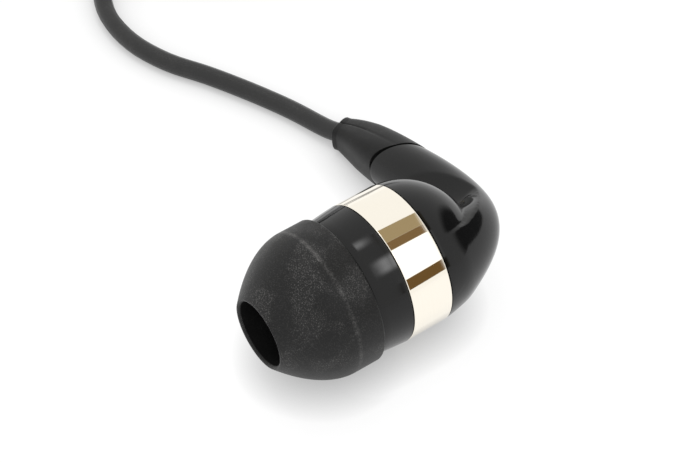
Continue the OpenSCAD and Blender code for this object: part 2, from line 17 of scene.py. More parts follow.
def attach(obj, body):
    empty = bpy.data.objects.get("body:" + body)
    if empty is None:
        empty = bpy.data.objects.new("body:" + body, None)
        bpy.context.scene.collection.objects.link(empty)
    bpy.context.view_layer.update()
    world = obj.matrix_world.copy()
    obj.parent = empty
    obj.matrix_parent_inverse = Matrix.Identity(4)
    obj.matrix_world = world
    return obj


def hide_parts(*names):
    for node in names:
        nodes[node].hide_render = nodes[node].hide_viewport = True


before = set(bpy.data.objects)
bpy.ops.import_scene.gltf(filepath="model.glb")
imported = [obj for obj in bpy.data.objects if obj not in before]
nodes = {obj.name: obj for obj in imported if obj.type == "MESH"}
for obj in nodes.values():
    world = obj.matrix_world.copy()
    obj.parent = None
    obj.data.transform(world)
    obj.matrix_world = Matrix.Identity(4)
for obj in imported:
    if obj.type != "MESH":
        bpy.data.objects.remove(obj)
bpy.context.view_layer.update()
MM = 0.001

# %% [markdown]
# ## Camera
#
# The camera looks down at the earpiece from its front and side with a long lens, as for a small product on a table.
# A long lens keeps the band's edges nearly parallel. The camera is set from a direction and a place, so nothing has
# to be tracked or constrained.

# %% Camera
CAMERA_AT = Vector((98.83, -68.77, 147.94))
LOOK_DOWN = math.radians(49.93)
LOOK_AROUND = math.radians(54.78)
IMAGE_WIDTH = 699
FOCAL_PIXELS = 2400

look = Vector((-math.cos(LOOK_DOWN) * math.sin(LOOK_AROUND), math.cos(LOOK_DOWN) * math.cos(LOOK_AROUND),
               -math.sin(LOOK_DOWN)))
camera = bpy.data.objects.new("camera", bpy.data.cameras.new("camera"))
camera.data.sensor_width = 36
camera.data.lens = camera.data.sensor_width * FOCAL_PIXELS / IMAGE_WIDTH
camera.data.clip_start = 0.005
camera.location = CAMERA_AT * MM
camera.rotation_euler = look.to_track_quat("-Z", "Y").to_euler()
bpy.context.scene.collection.objects.link(camera)
bpy.context.scene.camera = camera
print("lens", round(camera.data.lens, 1), "mm")

# %% [markdown]
# ## How the earpiece lies
#
# The earpiece is turned about its sound axis, and it lies on the table a little rolled, so that the end of its
# rubber sleeve touches down. One matrix holds that place. Every piece of the earpiece is made upright about the
# sound axis and goes through this matrix.

# %% Place of the earpiece
BAND_WIDTH = 3.55
ROLL = math.radians(15.911)
EAR = Matrix.Translation((5.598, -1.126, 6)) @ Matrix.Rotation(-ROLL, 4, "Y")
print("earpiece rolled by", round(math.degrees(ROLL), 1), "degrees")


def spread(first, last, count):
    """Evenly spread numbers."""
    return [first + (last - first) * i / (count - 1) for i in range(count)]


def bezier(handles, t):
    """The point at t of a cubic curve."""
    weights = ((1 - t) ** 3, 3 * t * (1 - t) ** 2, 3 * t * t * (1 - t), t ** 3)
    return sum((w * h for w, h in zip(weights, handles)), 0 * handles[0])


# %% [markdown]
# ## Centre line of the arm
#
# The arm leaves the band, swings round behind the dome and points along the table. A cubic curve carries a ball
# whose radius changes on the way, and the arm's skin is whatever those balls touch. The rubber sleeve takes over
# with a second curve that ends in the direction in which the cable leaves.

# %% Centre line of the arm and its rubber sleeve
ARM_END = Vector((-17.4, BAND_WIDTH + 5.5, 0))
ARM_CURVE = [Vector((0, BAND_WIDTH + 0.2, 0)), Vector((3.7, BAND_WIDTH + 9.2, 0)),
             Vector((-5.2, BAND_WIDTH + 6.3, 0)), ARM_END]
ARM_RADII = [5.85, -0.44, 4.1, 1.2]
JOIN = 0.72
RELIEF_END_R = 1.2
EXIT_TURN = math.radians(20.4)
EXIT_SLOPE = math.radians(10)

exit_way = Vector((-math.cos(EXIT_TURN) * math.cos(EXIT_SLOPE), -math.sin(EXIT_TURN) * math.cos(EXIT_SLOPE),
                   -math.sin(EXIT_SLOPE)))
exit_in_ear = Matrix.Rotation(ROLL, 3, "Y") @ exit_way
relief_last = ARM_END - 0.5 * exit_in_ear
join_at = bezier(ARM_CURVE, JOIN)
join_way = (bezier(ARM_CURVE, JOIN + 0.01) - bezier(ARM_CURVE, JOIN - 0.01)).normalized()
RELIEF_CURVE = [join_at, join_at + 3.2 * join_way, relief_last - 2.1 * exit_in_ear, relief_last]
print("sleeve ends at", [round(v, 2) for v in EAR @ ARM_END])

# %% [markdown]
# ## Route of the cable
#
# A cable is one length of something flexible. It leaves the sleeve straight, drops to the table, runs along it in a
# loose bend and is then wound into a neat coil, with the plug beside it. The points are the same as in the solid
# model. The coil winds inward, climbs a layer, winds outward, and so on, so that the cable never crosses itself.

# %% Route of the cable
CORD_D = 1.6
LIE = CORD_D / 2
COIL_AT = (-45.4, 16.9875)
COIL_INNER = 4.8
COIL_PITCH = 2.1
TURN_STEPS = 24
LAYER_STEPS = 105
CLIMB_STEPS = 12
LAYERS = 4
CLIMB_DIP = 0.35
COIL_BASE = LIE + 0.45
COIL_OUTER = COIL_INNER + COIL_PITCH * LAYER_STEPS / TURN_STEPS
COIL_TOP = COIL_BASE + (LAYERS - 1) * COIL_PITCH
PLUG_AT = Vector((-71, 24.7, 3.2))


def coil_point(step):
    """The coil's centre line, at a number of steps from its start."""
    layer = min(int(step // (LAYER_STEPS + CLIMB_STEPS)), LAYERS - 1)
    along = step - layer * (LAYER_STEPS + CLIMB_STEPS)
    climb = max(0, along - LAYER_STEPS) / CLIMB_STEPS
    run = COIL_PITCH * min(along, LAYER_STEPS) / TURN_STEPS
    dip = CLIMB_DIP * math.sin(math.pi * climb)
    radius = COIL_OUTER - run - dip if layer % 2 == 0 else COIL_INNER + run + dip
    angle = math.radians(-90 - 360 * step / TURN_STEPS)
    return Vector((COIL_AT[0] + radius * math.cos(angle), COIL_AT[1] + radius * math.sin(angle),
                   COIL_BASE + COIL_PITCH * (layer + (1 - math.cos(math.pi * climb)) / 2)))


def smoothed(points, parts=4):
    """Extra points on a smooth curve through the given ones."""
    points = [Vector(p) for p in points]
    ends = [2 * points[0] - points[1], *points, 2 * points[-1] - points[-2]]
    out = []
    for a, b, c, d in zip(ends, ends[1:], ends[2:], ends[3:]):
        for i in range(parts):
            t = i / parts
            out.append(0.5 * (2 * b + (c - a) * t + (2 * a - 5 * b + 4 * c - d) * t ** 2
                              + (3 * b - a - 3 * c + d) * t ** 3))
    return out + [points[-1]]


relief_out = EAR @ ARM_END
coil_in = Vector((COIL_AT[0] + CORD_D, COIL_AT[1] - COIL_OUTER, COIL_BASE))
coil_out = Vector((COIL_AT[0] - CORD_D, COIL_AT[1] - COIL_OUTER, COIL_TOP))
run_points = [relief_out, relief_out + CORD_D * exit_way, (-16, 6.3, LIE), (-19.6, 4.7, LIE), (-23.3, 2.8, LIE),
              (-26.7, 0.8, LIE), (-30.4, -0.4, LIE), (-34.2, -0.4, LIE), (-37.4, 0.8, 0.95), (-40, 2.4, 1.15),
              coil_in + Vector((CORD_D, 0, 0)), coil_in]
tail_points = [coil_out, coil_out - Vector((CORD_D, 0, 0)), (-51.6, 3.4, 7.4), (-55, 4.7, 7), (-58.3, 7, 6.4),
               (-60.6, 10.2, 5.4), (-61.9, 13.8, 4.2), (-62.2, 17.5, 3), (-61.9, 21.2, 1.8), (-61.6, 24.8, 1),
               (-62.4, 28.2, LIE), (-64.9, 30.7, 0.9), (-68.1, 30.8, 1.4), (-70.3, 28.9, 2.3),
               PLUG_AT + Vector((0, CORD_D, 0)), PLUG_AT]
coil_steps = LAYERS * LAYER_STEPS + (LAYERS - 1) * CLIMB_STEPS
coil_points = [coil_point(k / 2) for k in range(2 * coil_steps + 1)]
route = smoothed(run_points) + coil_points + smoothed(tail_points)
cable_length = sum((b - a).length for a, b in zip(route, route[1:]))
print("cable outside the earpiece:", round(cable_length), "mm in", len(route), "points")

# %% [markdown]
# ## Finishes written as sums
#
# A finish is a small graph of nodes. Wiring it by hand hides the idea, so one class wraps a socket and lets Python's
# own + - * add the Math nodes, and one method makes every other node.

# %% Helpers for finishes
class Value:
    """A socket that Python arithmetic works on."""

    def __init__(self, finish, socket):
        self.finish = finish
        self.socket = socket

    def math(self, operation, first, second):
        return self.finish.node("Math", {"operation": operation}, {0: first, 1: second})

    def __add__(self, other):
        return self.math("ADD", self, other)

    def __sub__(self, other):
        return self.math("SUBTRACT", self, other)

    def __rsub__(self, other):
        return self.math("SUBTRACT", other, self)

    def __mul__(self, other):
        return self.math("MULTIPLY", self, other)

    __radd__ = __add__
    __rmul__ = __mul__

    def above(self, level, soft):
        """0 below the level and 1 above it, with a soft step."""
        return self.finish.node("MapRange", {"interpolation_type": "SMOOTHSTEP"},
                                {0: self, 1: level - soft, 2: level + soft, 3: 0.0, 4: 1.0})

    def between(self, low, high, soft):
        """1 between two levels and 0 outside them, with soft steps."""
        return self.above(low, soft) - self.above(high, soft)


class Finish:
    """A material whose nodes are made by one method."""

    def __init__(self, name, owner=None):
        self.owner = owner or bpy.data.materials.new(name)
        self.owner.use_nodes = True
        self.tree = self.owner.node_tree
        self.tree.nodes.clear()

    def node(self, kind, settings=None, values=None, output=0):
        """Makes a node from its type, its settings, and the values or links of its sockets."""
        made = self.tree.nodes.new("ShaderNode" + kind)
        for key, setting in (settings or {}).items():
            setattr(made, key, setting)
        for key, value in (values or {}).items():
            if isinstance(value, Value):
                self.tree.links.new(value.socket, made.inputs[key])
            else:
                made.inputs[key].default_value = value
        return Value(self, made.outputs[output]) if made.outputs else None

    def parts(self, vector):
        """The x, y and z of a vector."""
        split = self.node("SeparateXYZ", None, {0: vector}).socket.node
        return [Value(self, output) for output in split.outputs]

    def where(self):
        return self.node("TexCoord", output="Object")

    def noise(self, size_mm, detail=2.0, at=None):
        """Soft random values whose features are about size_mm across."""
        return self.node("TexNoise", None, {"Vector": at or self.where(), "Scale": 1 / (size_mm * MM),
                                            "Detail": detail})

    def blend(self, factor, first, second):
        """A colour between two colours."""
        return self.node("Mix", {"data_type": "RGBA"}, {0: factor, 6: first, 7: second}, 2)

    def bump(self, height, depth_mm):
        return self.node("Bump", None, {"Height": height, "Distance": depth_mm * MM, "Strength": 1.0})

    def surface(self, **sockets):
        values = {key.replace("_", " "): value for key, value in sockets.items()}
        self.show(self.node("BsdfPrincipled", None, values))
        return self.owner

    def show(self, shader):
        kind = "OutputWorld" if self.owner.id_type == "WORLD" else "OutputMaterial"
        self.node(kind, None, {"Surface": shader})


def grey(level, warm=0.0):
    return (level * (1 + warm), level, level * (1 - warm), 1)


# %% [markdown]
# ## Finishes of the cable and the rubber
#
# Soft PVC and silicone are nearly black, but they aren't flat: dust sits on them, and the mould leaves a fine
# texture. Noises of different sizes do both. In the colour they make patches, specks and a thin film of dust, and
# one in the bump makes the texture. The tip's finish also has a pale ring where the mould of the tip parted: dust,
# and a painted highlight where the mould's ridge catches light.

# %% Matt finishes
PARTING_AT = -5.0
RING_REACH = 0.15
DUST_AND_HIGHLIGHT_GREY = grey(0.3, 0.03)


def rubber(name, level, dust, rough, grain_mm, grain_depth_mm, dust_and_highlight_ring=None, **more):
    """A dark matt skin with a fine grain and pale dust, and an optional pale ring round the Y axis: dust and a painted
    highlight.
    """
    finish = Finish(name)
    patches = finish.noise(1.4)
    specks = finish.noise(0.08, 2).above(0.6, 0.08)
    film = finish.noise(0.4, 4) * finish.noise(2.6, 2).above(0.52, 0.08)
    pale_dust_and_highlight = specks * (film * 1.2 + 0.25) + film * 0.12
    if dust_and_highlight_ring is not None:
        # Painted highlight with dust: a paler ring of specks and film along the mould's ridge, where the ridge catches
        # light.
        behind = finish.node("VectorMath", {"operation": "DOT_PRODUCT"}, {0: finish.where(), 1: (0, 1 / MM, 0)}, 1)
        ring = behind.between(dust_and_highlight_ring - RING_REACH, dust_and_highlight_ring + RING_REACH, 0.12)
        pale_dust_and_highlight = pale_dust_and_highlight + ring * (finish.noise(0.15, 3).above(0.5, 0.15) * 0.4 + film * 0.5)
    colour = finish.blend(patches, grey(level * 0.75), grey(level * 1.3))
    colour = finish.blend(pale_dust_and_highlight * dust, colour, DUST_AND_HIGHLIGHT_GREY)
    grain = finish.noise(grain_mm, 4)
    return finish.surface(Base_Color=colour, Roughness=patches * 0.12 + rough,
                          Normal=finish.bump(grain, grain_depth_mm), **more)


cable_skin = rubber("cable_skin", 0.009, 0.06, 0.32, 0.12, 0.003)
sleeve_skin = rubber("sleeve_skin", 0.007, 0.07, 0.34, 0.15, 0.004, Specular_IOR_Level=0.16)
# The tip's pale ring of dust and painted highlight lies on the mould's ridge.
silicone = rubber("silicone", 0.006, 0.27, 0.4, 0.1, 0.01, PARTING_AT + EAR.translation.y,
                  Specular_IOR_Level=0.27)
print("matt finishes:", cable_skin.name, sleeve_skin.name, silicone.name)

# %% [markdown]
# ## The cable
#
# A curve with a round section is the natural form for a cable: it keeps its thickness on every bend. The curve is
# fine enough for its bends to look smooth, and it stands for the three straight-edged solids of the model.

# %% The cable
def curve_piece(name, points, radius, finish):
    line = bpy.data.curves.new(name, "CURVE")
    line.dimensions = "3D"
    line.bevel_depth = radius * MM
    line.bevel_resolution = 3
    line.use_fill_caps = True
    spline = line.splines.new("POLY")
    spline.points.add(len(points) - 1)
    for spot, p in zip(spline.points, points):
        spot.co = (*(Vector(p) * MM), 1)
    spline.use_smooth = True
    line.materials.append(finish)
    made = bpy.data.objects.new(name, line)
    bpy.context.scene.collection.objects.link(made)
    return made


cable = curve_piece("cable", route, LIE, cable_skin)
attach(cable, "earphone")
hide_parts("cable_run", "cable_coil", "cable_tail")
print("cable:", CORD_D, "mm thick")

# %% [markdown]
# ## Making a skin
#
# Nearly every piece is turned about an axis, so one helper spins a profile of radius and station. Corners of a
# moulded or turned piece are never perfectly sharp. A small rounding catches a line of light, and that line is what
# makes an edge look real.

# %% Helpers for meshes
def rounded(corners, parts=5):
    """Replaces each corner (radius, station, rounding) by a short arc."""
    spots = [Vector(c[:2]) for c in corners]
    out = []
    for i, corner in enumerate(corners):
        turn = corner[2] if len(corner) > 2 else 0
        if not turn or i in (0, len(corners) - 1):
            out.append(spots[i])
            continue
        before = spots[i - 1] - spots[i]
        after = spots[i + 1] - spots[i]
        a = spots[i] + before * min(turn / before.length, 0.5)
        b = spots[i] + after * min(turn / after.length, 0.5)
        for k in range(parts + 1):
            t = k / parts
            out.append((1 - t) ** 2 * a + 2 * t * (1 - t) * spots[i] + t * t * b)
    return out


def turned(profile, place, sides=144):
    """Spins a profile round the Y axis of a place. A profile that leaves the axis is closed on itself."""
    spots = [Vector(p[:2]) for p in profile]
    solid = spots[0].x < 1e-6 and spots[-1].x < 1e-6
    points = []
    faces = []
    rings = []
    for spot in spots:
        if spot.x < 1e-6:
            rings.append([len(points)] * sides)
            points.append(place @ Vector((0, spot.y, 0)))
            continue
        rings.append(range(len(points), len(points) + sides))
        for k in range(sides):
            angle = math.tau * k / sides
            points.append(place @ Vector((spot.x * math.cos(angle), spot.y, spot.x * math.sin(angle))))
    pairs = list(zip(rings, rings[1:])) + ([] if solid else [(rings[-1], rings[0])])
    for low, high in pairs:
        for k in range(sides):
            n = (k + 1) % sides
            face = list(dict.fromkeys((low[k], low[n], high[n], high[k])))
            if len(face) > 2:
                faces.append(face)
    return points, faces


def new_object(name, points, faces, scale=1.0):
    mesh = bpy.data.meshes.new(name)
    mesh.from_pydata([Vector(p) * scale for p in points], [], faces)
    made = bpy.data.objects.new(name, mesh)
    bpy.context.scene.collection.objects.link(made)
    return made


def smooth_skin(piece, sharp=30):
    """Points all faces outward and shades them smooth, apart from edges sharper than an angle in degrees."""
    work = bmesh.new()
    work.from_mesh(piece.data)
    bmesh.ops.remove_doubles(work, verts=work.verts, dist=1e-8)
    bmesh.ops.recalc_face_normals(work, faces=work.faces)
    work.to_mesh(piece.data)
    work.free()
    piece.data.polygons.foreach_set("use_smooth", [True] * len(piece.data.polygons))
    piece.data.set_sharp_from_angle(angle=math.radians(sharp))


def declare(piece, finish, stands_for, body="earphone", sharp=38):
    smooth_skin(piece, sharp)
    piece.data.materials.clear()
    piece.data.materials.append(finish)
    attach(piece, body)
    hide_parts(*stands_for)
    return piece


def turned_piece(name, profile, place, finish, stands_for, body="earphone"):
    points, faces = turned(profile, place)
    return declare(new_object(name, points, faces, MM), finish, stands_for, body)


# %% [markdown]
# ## Ear tip
#
# The tip is one piece of soft silicone: a thin dome folded back over a sleeve that grips the nozzle. The mould
# leaves a fine line round it where its two halves met, so the dome's profile has a tiny ridge there. The bore's
# faces get a darker, duller and cleaner finish of their own, which is painted shade for the little light inside.

# %% Ear tip
TIP_R = 6
MOUTH = -10.15
SKIRT_EDGE = -2.75
SWELL_LENGTH = 5.2
MOUTH_R = 2.95
RIM_R = 0.25
TIP_WALL = 0.5
SWELL_POWER = 1.85
RIDGE_HEIGHT = 0.06
RIDGE_WIDTH = 0.07
TIP_BORE_R = 2.35
TIP_SLEEVE_R = 3
SLEEVE_BACK = -4.95
WEB_AT = -8.42


def tip_radius(station):
    """The dome's outer radius, with the ridge that the mould left."""
    u = min(1, (station - MOUTH) / SWELL_LENGTH)
    ridge = RIDGE_HEIGHT * math.exp(-((station - PARTING_AT) / RIDGE_WIDTH) ** 2)
    return MOUTH_R + (TIP_R - MOUTH_R) * (1 - (1 - u) ** SWELL_POWER) + ridge


rim = [(MOUTH_R + RIM_R * math.cos(a), MOUTH + RIM_R + RIM_R * math.sin(a))
       for a in np.radians(np.arange(190, 275, 8))]
dome_outside = [(min(tip_radius(s), TIP_R), s) for s in np.arange(MOUTH + 0.08, SKIRT_EDGE - 0.12, 0.06)]
skirt_rim = [(TIP_R - 0.02, SKIRT_EDGE - 0.07), (TIP_R - 0.09, SKIRT_EDGE), (TIP_R - TIP_WALL + 0.09, SKIRT_EDGE),
             (TIP_R - TIP_WALL, SKIRT_EDGE - 0.08)]
dome_inside = [(tip_radius(s) - TIP_WALL, s) for s in np.arange(SKIRT_EDGE - 0.3, WEB_AT, -0.25)]
ear_tip = turned_piece(
    "ear_tip_skin",
    [(TIP_BORE_R, SLEEVE_BACK), (TIP_BORE_R, -7.9), (2.4, -8.1), *rim, *dome_outside, *skirt_rim, *dome_inside,
     (4.06, WEB_AT), (3.2, WEB_AT), (TIP_SLEEVE_R, -8.25), (TIP_SLEEVE_R, SLEEVE_BACK)],
    EAR, silicone, ["ear_tip"], "ear_tip_body")
# Painted shade: the faces inside the bore get a darker, duller rubber.
ear_tip.data.materials.append(rubber("bore_silicone_painted_shade", 0.003, 0.02, 0.5, 0.1, 0.01, Specular_IOR_Level=0.08))
to_ear = EAR.inverted()
for face in ear_tip.data.polygons:
    centre = to_ear @ (face.center / MM)
    if math.hypot(centre.x, centre.z) < MOUTH_R - RIM_R + 0.02 and centre.y > MOUTH + RIM_R:
        face.material_index = 1
print("ear tip:", len(ear_tip.data.polygons), "faces")

# %% [markdown]
# ## Polished black plastic
#
# Piano black is simply very dark plastic with a very smooth surface, so nearly all that shows is the room
# reflected in it. A faint unevenness in the roughness gives the look of a handled, wiped surface.

# %% Polished black
def polished_black():
    finish = Finish("polished_black")
    smudge = finish.noise(2.6, 3)
    dust = finish.noise(0.07, 2).above(0.73, 0.03)
    return finish.surface(Base_Color=finish.blend(dust * 0.3, grey(0.004), grey(0.12)),
                          Roughness=smudge * 0.07 + dust * 0.2 + 0.06,
                          Normal=finish.bump(finish.noise(1.1, 1), 0.003), Specular_IOR_Level=0.33)


black = polished_black()
print("finish of the shells:", black.name)

# %% [markdown]
# ## Front housing
#
# The housing carries the nozzle inside the tip, a rounded lip behind the tip's skirt and the seat of the driver. It
# narrows a little from the band to its lip. It is one turned profile, with its bore open from end to end.

# %% Front housing
BAND_R = 5.85
BOWL_R = 5.7
NECK_R = 5.3
SPIGOT_R = 5.35
SPIGOT_BACK = 1.7
NOZZLE_R = 2.3
NOZZLE_BORE_R = 1.75
NOZZLE_FRONT = -7.6
SCREEN_R = 2
SCREEN_BACK = -7
BOWL_FRONT = -4.9
DRIVER_R = 4.85
DRIVER_FRONT = -1.3
LIP_FRONT = -2.8
LIP_LENGTH = 1.3
LIP_TURN = math.radians(70)
FLANK_SWELL = 0.38


def lip_point(turn):
    """Radius and station on the lip, which is part of an oval."""
    return NECK_R + (BOWL_R - NECK_R) * math.sin(turn), LIP_FRONT + LIP_LENGTH * (1 - math.cos(turn))


lip_r, lip_back = lip_point(LIP_TURN)
lip = [lip_point(a) for a in spread(0, LIP_TURN, 15)]
flank = [(lip_r + (BAND_R - lip_r) * (u + FLANK_SWELL * u * (1 - u)), lip_back * (1 - u))
         for u in np.arange(0.1, 0.95, 0.1)]
front = turned_piece(
    "front_housing_skin",
    rounded([(SCREEN_R, NOZZLE_FRONT), (NOZZLE_R, NOZZLE_FRONT, 0.1), (NOZZLE_R, BOWL_FRONT, 0.15),
             (3.3, BOWL_FRONT, 0.2)])
    + [Vector(p) for p in lip + flank]
    + rounded([(BAND_R, -0.06), (BAND_R - 0.05, 0), (SPIGOT_R, 0), (SPIGOT_R, SPIGOT_BACK), (DRIVER_R, SPIGOT_BACK),
               (DRIVER_R, DRIVER_FRONT), (4.1, DRIVER_FRONT), (NOZZLE_BORE_R, -4.3), (NOZZLE_BORE_R, SCREEN_BACK),
               (SCREEN_R, SCREEN_BACK)]),
    EAR, black, ["front_housing"])
print("front housing:", len(front.data.polygons), "faces")

# %% [markdown]
# ## Trim band
#
# The band is a thin ring of polished metal with a warm plating. A mirror shows its surroundings, so its look comes
# from what the studio puts around it. Its own share is the plating's tint and fine lines left by polishing.

# %% Trim band
def polished_metal(name, colour, rough):
    finish = Finish(name)
    stretched = finish.node("VectorMath", {"operation": "MULTIPLY"}, {0: finish.where(), 1: (1, 30, 1)})
    lines = finish.noise(1.5, 2, stretched)
    tint = finish.blend(lines * 0.5, (*colour, 1), (*(0.93 * c for c in colour), 1))
    return finish.surface(Base_Color=tint, Metallic=1.0, Roughness=lines * 0.03 + rough,
                          Normal=finish.bump(lines, 0.0004))


BAND_INNER_R = 5.4
BAND_FRONT = 0.05
BAND_EDGE = 0.07
plating = polished_metal("plating", (0.975, 0.92, 0.815), 0.02)
band = turned_piece(
    "band_skin",
    rounded([(BAND_INNER_R, 2), (BAND_INNER_R, BAND_FRONT), (BAND_R, BAND_FRONT, BAND_EDGE),
             (BAND_R, BAND_WIDTH, BAND_EDGE), (BAND_INNER_R, BAND_WIDTH), (BAND_INNER_R, 2.1)]),
    EAR, plating, ["trim_band"])
print("trim band:", len(band.data.polygons), "faces")

# %% [markdown]
# ## Rear shell
#
# The shell is two bodies grown together: a round dome behind the band, and a horn that swings round it and becomes
# the cable's arm. Free forms like this are easy to write as a field of distances, negative inside. The horn is the
# nearest of many short cones, the trough beside the dome is a distance added to the horn near the dome, and a soft
# minimum joins dome and horn with a small fillet. The ridge of the trough stays crisp, because from there the added
# distance grows evenly.

# %% The shell as a field
DOME_R = BAND_R - 0.05
DOME_LENGTH = 5.4
HORN_END = 0.8
HORN_CONES = 60
TROUGH_WIDTH = 2.25
TROUGH_DEPTH = 1.1
TROUGH_SLOPE = 0.64
TROUGH_END = 4.55
TROUGH_FADE = 5.2
FILLET = 0.08
SHELL_FRONT = BAND_WIDTH + 0.05


def horn_field(p):
    """Distance to the horn, which is a chain of short cones."""
    steps = spread(0, HORN_END, HORN_CONES + 1)
    distance = np.full(p.shape[:-1], 99.0)
    for start, end in zip(steps, steps[1:]):
        a, b = np.array(bezier(ARM_CURVE, start)), np.array(bezier(ARM_CURVE, end))
        along = np.clip((p - a) @ (b - a) / ((b - a) @ (b - a)), 0, 1)
        radius = bezier(ARM_RADII, start) + along * (bezier(ARM_RADII, end) - bezier(ARM_RADII, start))
        distance = np.minimum(distance, np.linalg.norm(p - a - along[..., None] * (b - a), axis=-1) - radius)
    return distance


def shell_field(p):
    """Distance to the shell: dome and horn, with the trough between them."""
    x, back, z = p[..., 0], p[..., 1] - BAND_WIDTH, p[..., 2]
    size = np.sqrt((x ** 2 + z ** 2) / DOME_R ** 2 + (back / DOME_LENGTH) ** 2) + 1e-6
    dome = (size - 1) / size * np.sqrt(x ** 2 + back ** 2 + z ** 2)
    width = TROUGH_WIDTH * np.clip((TROUGH_END - x) / TROUGH_FADE, 0, 1) ** 0.9
    horn = horn_field(p) + np.clip(TROUGH_SLOPE * (width - dome), 0, TROUGH_DEPTH)
    share = np.clip(0.5 + (horn - dome) / FILLET / 2, 0, 1)
    return horn + share * (dome - horn) - FILLET * share * (1 - share)


# %% [markdown]
# ## From a field to a skin
#
# A skin is found on a grid. Every small cell that the surface passes through gets one point, in the middle of the
# places where the surface cuts the cell's edges, and every cut edge gets one square between the four cells round it.

# %% Skin of a field
def skin_of(field, low, high, step):
    """Points and square faces where a field of distances is zero."""
    axes = [np.arange(a, b, step) for a, b in zip(low, high)]
    grid = np.stack(np.meshgrid(*axes, indexing="ij"), -1)
    value = field(grid)
    total = np.zeros(grid.shape)
    count = np.zeros(value.shape)
    squares = []
    for axis in range(3):
        ahead = np.roll(value, -1, axis)
        cut = np.argwhere((value < 0) != (ahead < 0))
        cut = cut[cut[:, axis] < value.shape[axis] - 1]
        index = tuple(cut.T)
        spots = grid[index]
        spots[:, axis] += step * value[index] / (value[index] - ahead[index])
        corners = []
        for one, two in ((0, 0), (1, 0), (1, 1), (0, 1)):
            cell = cut.copy()
            cell[:, (axis + 1) % 3] -= one
            cell[:, (axis + 2) % 3] -= two
            np.add.at(total, tuple(cell.T), spots)
            np.add.at(count, tuple(cell.T), 1)
            corners.append(np.ravel_multi_index(tuple(cell.T), value.shape))
        squares.append(np.stack(corners, 1))
    used = count.ravel() > 0
    points = total.reshape(-1, 3)[used] / count.ravel()[used][:, None]
    return points.tolist(), (np.cumsum(used) - 1)[np.concatenate(squares)].tolist()


def baked(piece):
    """Turns a piece's modifiers into its mesh."""
    graph = bpy.context.evaluated_depsgraph_get()
    mesh = bpy.data.meshes.new_from_object(piece.evaluated_get(graph))
    piece.modifiers.clear()
    piece.data = mesh


def carved(piece, tool):
    """Cuts a closed tool out of the piece and deletes the tool."""
    cut = piece.modifiers.new("cut", "BOOLEAN")
    cut.operation = "DIFFERENCE"
    cut.solver = "MANIFOLD"
    cut.object = tool
    baked(piece)
    bpy.data.objects.remove(tool)


SHELL_LOW = (-15, -3, -6.4)
SHELL_HIGH = (6.9, 16, 6.4)
CELL = 0.11
shell = new_object("rear_shell_skin", *skin_of(shell_field, SHELL_LOW, SHELL_HIGH, CELL))
smooth_skin(shell, 180)
ease = shell.modifiers.new("ease", "SMOOTH")
ease.iterations = 5
baked(shell)
print("shell:", len(shell.data.polygons), "faces")

# %% [markdown]
# ## Cuts in the rear shell
#
# Three cuts give the shell its crisp edges: a turned tool takes the front off and hollows the chamber, a block cuts
# the slanted joint with the rubber sleeve, and a tube bores the way for the cable. The tool for the front leans
# back at its rim, which leaves the thin dark line beside the band. Last, the ring that sits inside the band is added.

# %% Cut the rear shell
SEAM_AT = Vector((-9.4, BAND_WIDTH + 6.35, 0))
SEAM_SLANT = math.radians(-28)
BLOCK_HALF = 15
TOOL_REACH = 9
TOOL_BACK = 5.25
TOOL_RIM_R = 5.7
RING_INSIDE_BAND = 1.8
CHAMBER_R = 4.5
CHAMBER_DEPTH = DOME_LENGTH - 0.6
CABLE_BORE_R = LIE + 0.05


def past_seam(gap, beyond=1, lean=0.0):
    """A block that covers everything past the slanted joint, or with beyond -1 everything before it."""
    place = Matrix.Translation(SEAM_AT) @ Matrix.Rotation(SEAM_SLANT, 4, "Z") @ Matrix.Rotation(lean, 4, "Y")
    near = -gap
    far = -gap - 2 * BLOCK_HALF * beyond
    corners = [place @ Vector((x, y, z)) for x in (near, far) for y in (-BLOCK_HALF, BLOCK_HALF)
               for z in (-BLOCK_HALF, BLOCK_HALF)]
    tool = new_object("block", corners, [(0, 1, 3, 2), (4, 6, 7, 5), (0, 4, 5, 1), (2, 3, 7, 6), (0, 2, 6, 4),
                                         (1, 5, 7, 3)])
    smooth_skin(tool)
    return tool


def swept(line, section):
    """A closed skin through one section per point of a line. section(i) gives (sideways, upward) pairs."""
    up = Vector((0, 0, 1))
    points = []
    faces = []
    for i, at in enumerate(line):
        way = (line[min(i + 1, len(line) - 1)] - line[max(i - 1, 0)]).normalized()
        side = way.cross(up).normalized()
        rise = side.cross(way)
        points += [at + a * side + b * rise for a, b in section(i)]
    sides = len(points) // len(line)
    for row in range(len(line) - 1):
        for k in range(sides):
            n = (k + 1) % sides
            faces.append((row * sides + k, row * sides + n, (row + 1) * sides + n, (row + 1) * sides + k))
    faces.append(range(sides))
    faces.append(range(len(points) - sides, len(points)))
    return points, faces


def circle(radius, sides=24):
    return [(radius * math.cos(math.tau * k / sides), radius * math.sin(math.tau * k / sides))
            for k in range(sides)]


def cable_bore():
    line = [bezier(ARM_CURVE, t) for t in spread(0.12, JOIN, 14)[:-1]]
    line += [bezier(RELIEF_CURVE, t) for t in spread(0, 1, 12)] + [ARM_END + exit_in_ear]
    tool = new_object("bore", *swept(line, lambda i: circle(CABLE_BORE_R)))
    smooth_skin(tool)
    return tool


